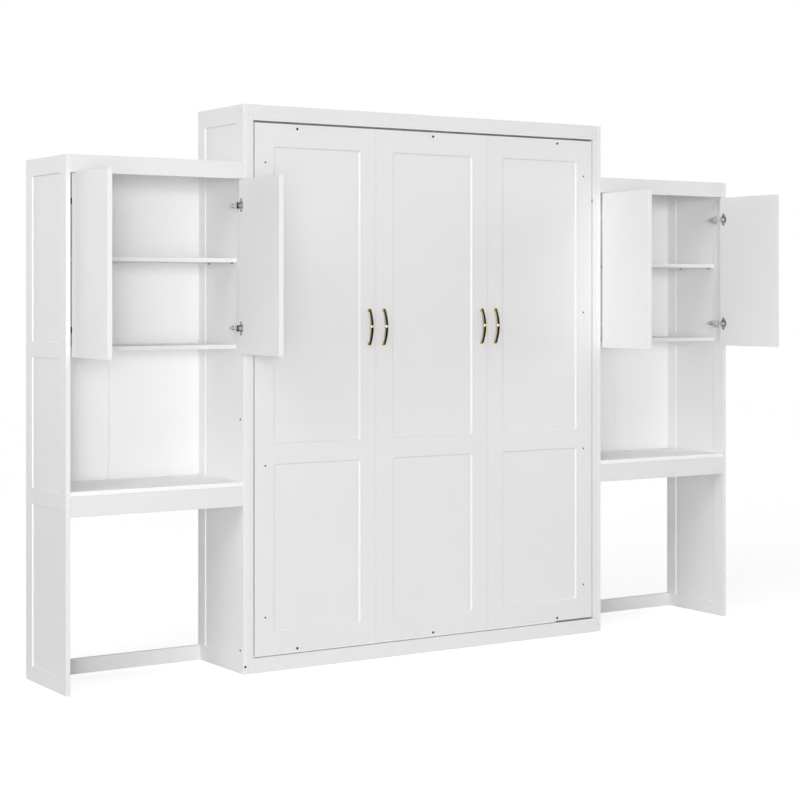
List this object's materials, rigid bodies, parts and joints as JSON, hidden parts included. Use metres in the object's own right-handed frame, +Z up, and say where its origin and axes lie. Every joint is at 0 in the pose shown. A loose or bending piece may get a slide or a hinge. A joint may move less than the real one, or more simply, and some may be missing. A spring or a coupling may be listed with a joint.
{
  "type": "wall bed with side cupboards and desks",
  "caption": "White vertical wall bed behind a panelled front with bow handles, between open cupboards with inset doors over fixed desks; the bed folds down on pivots, struts and legs.",
  "frame": {"origin": "on the floor, at the wall plane, on the bed cabinet's centre line", "axes": "+X to the right seen from the room, +Y into the wall, +Z up; metres"},
  "size_m": [3.175, 0.7347, 2.17],
  "materials": {
    "white_lacquer": "satin white lacquer on smooth MDF",
    "white_sheet": "satin white lacquered hardboard",
    "white_caps": "white plastic screw caps",
    "birch": "clear lacquered birch",
    "zinc_steel": "zinc plated steel",
    "nickel": "satin nickel plated steel",
    "black_steel": "black oxide steel",
    "black_nylon": "black nylon",
    "antique_gold": "antique gold, darker in the hollows"
  },
  "bodies": {
    "cabinet": {"side_panel_left": "white_lacquer", "side_panel_right": "white_lacquer", "front_stiles": "white_lacquer", "top_panel": "white_lacquer", "fascia": "white_lacquer", "plinth": "white_lacquer", "wall_rail": "white_lacquer", "headboard_panel": "white_lacquer", "lower_back_rail": "white_lacquer", "cabinet_brackets": "zinc_steel", "pivot_bushes": "black_nylon", "joint_caps": "white_caps", "joint_bolts": "black_steel", "unit_side_lower_left": "white_lacquer", "unit_side_lower_right": "white_lacquer", "unit_side_upper_left": "white_lacquer", "unit_side_upper_right": "white_lacquer", "unit_tops": "white_lacquer", "unit_head_rails": "white_lacquer", "cupboard_shelves": "white_lacquer", "cupboard_floors": "white_lacquer", "desktop_left": "white_lacquer", "desktop_right": "white_lacquer", "desk_aprons": "white_lacquer", "back_sheets": "white_sheet", "foot_rails": "white_lacquer", "shelf_pins": "zinc_steel", "hinge_arms": "nickel"},
    "bed": {"leaf_left": "white_lacquer", "leaf_centre": "white_lacquer", "leaf_right": "white_lacquer", "bed_rail_left": "birch", "bed_rail_right": "birch", "bed_foot_rail": "birch", "bed_head_rail": "birch", "slat_bearers": "birch", "slats": "birch", "handles": "antique_gold", "front_bolts": "black_steel", "rail_fittings": "zinc_steel"},
    "leg_left": {"leg_left": "zinc_steel", "leg_glide_left": "black_nylon"},
    "leg_right": {"leg_right": "zinc_steel", "leg_glide_right": "black_nylon"},
    "strut_cylinder_left": {"strut_tube_left": "black_steel"},
    "strut_cylinder_right": {"strut_tube_right": "black_steel"},
    "strut_piston_left": {"strut_rod_left": "zinc_steel"},
    "strut_piston_right": {"strut_rod_right": "zinc_steel"},
    "door_left_outer": {"door_left_outer": "white_lacquer", "hinge_cups_left_outer": "nickel"},
    "door_left_inner": {"door_left_inner": "white_lacquer", "hinge_cups_left_inner": "nickel"},
    "door_right_inner": {"door_right_inner": "white_lacquer", "hinge_cups_right_inner": "nickel"},
    "door_right_outer": {"door_right_outer": "white_lacquer", "hinge_cups_right_outer": "nickel"},
    "links_left_outer": {"hinge_links_left_outer": "nickel"},
    "links_left_inner": {"hinge_links_left_inner": "nickel"},
    "links_right_inner": {"hinge_links_right_inner": "nickel"},
    "links_right_outer": {"hinge_links_right_outer": "nickel"}
  },
  "joints": [
    {"name": "bed_fold", "type": "hinge", "parent": "cabinet", "child": "bed", "pos_m": [0, -0.35, 0.27], "axis": [1, 0, 0], "range_deg": [0, 90]},
    {"name": "leg_swing_left", "type": "hinge", "parent": "bed", "child": "leg_left", "pos_m": [-0.8205, -0.31, 1.846], "axis": [1, 0, 0], "range_deg": [-90, 0]},
    {"name": "strut_tilt_left", "type": "hinge", "parent": "cabinet", "child": "strut_cylinder_left", "pos_m": [-0.8355, -0.215, 0.64], "axis": [1, 0, 0], "range_deg": [0, 5.29]},
    {"name": "strut_stroke_left", "type": "slide", "parent": "strut_cylinder_left", "child": "strut_piston_left", "axis": [0, -0.1734, -0.9849], "range_m": [-0.16577, 0]},
    {"name": "leg_swing_right", "type": "hinge", "parent": "bed", "child": "leg_right", "pos_m": [0.8205, -0.31, 1.846], "axis": [1, 0, 0], "range_deg": [-90, 0]},
    {"name": "strut_tilt_right", "type": "hinge", "parent": "cabinet", "child": "strut_cylinder_right", "pos_m": [0.8355, -0.215, 0.64], "axis": [1, 0, 0], "range_deg": [0, 5.29]},
    {"name": "strut_stroke_right", "type": "slide", "parent": "strut_cylinder_right", "child": "strut_piston_right", "axis": [0, -0.1734, -0.9849], "range_m": [-0.16577, 0]},
    {"name": "door_swing_left_outer", "type": "hinge", "parent": "cabinet", "child": "door_left_outer", "pos_m": [-1.5695, -0.384, 1.55], "axis": [0, 0, -1], "range_deg": [-93, 0]},
    {"name": "link_swing_left_outer", "type": "hinge", "parent": "cabinet", "child": "links_left_outer", "pos_m": [-1.5575, -0.353, 1.55], "axis": [0, 0, -1], "range_deg": [-93, 0]},
    {"name": "door_swing_left_inner", "type": "hinge", "parent": "cabinet", "child": "door_left_inner", "pos_m": [-0.8675, -0.384, 1.55], "axis": [0, 0, 1], "range_deg": [-87, 0]},
    {"name": "link_swing_left_inner", "type": "hinge", "parent": "cabinet", "child": "links_left_inner", "pos_m": [-0.8795, -0.353, 1.55], "axis": [0, 0, 1], "range_deg": [-87, 0]},
    {"name": "door_swing_right_inner", "type": "hinge", "parent": "cabinet", "child": "door_right_inner", "pos_m": [0.8675, -0.384, 1.55], "axis": [0, 0, -1], "range_deg": [-96, 0]},
    {"name": "link_swing_right_inner", "type": "hinge", "parent": "cabinet", "child": "links_right_inner", "pos_m": [0.8795, -0.353, 1.55], "axis": [0, 0, -1], "range_deg": [-96, 0]},
    {"name": "door_swing_right_outer", "type": "hinge", "parent": "cabinet", "child": "door_right_outer", "pos_m": [1.5695, -0.384, 1.55], "axis": [0, 0, 1], "range_deg": [-91, 0]},
    {"name": "link_swing_right_outer", "type": "hinge", "parent": "cabinet", "child": "links_right_outer", "pos_m": [1.5575, -0.353, 1.55], "axis": [0, 0, 1], "range_deg": [-91, 0]}
  ],
  "couplings": [
    {"joint": "leg_swing_left", "follows": "bed_fold", "ratio": -1},
    {"joint": "strut_tilt_left", "follows": "bed_fold", "ratio": 0.058733},
    {"joint": "strut_stroke_left", "follows": "bed_fold", "m_per_rad": -0.10552},
    {"joint": "leg_swing_right", "follows": "bed_fold", "ratio": -1},
    {"joint": "strut_tilt_right", "follows": "bed_fold", "ratio": 0.058733},
    {"joint": "strut_stroke_right", "follows": "bed_fold", "m_per_rad": -0.10552},
    {"joint": "link_swing_left_outer", "follows": "door_swing_left_outer", "ratio": 1},
    {"joint": "link_swing_left_inner", "follows": "door_swing_left_inner", "ratio": 1},
    {"joint": "link_swing_right_inner", "follows": "door_swing_right_inner", "ratio": 1},
    {"joint": "link_swing_right_outer", "follows": "door_swing_right_outer", "ratio": 1}
  ]
}
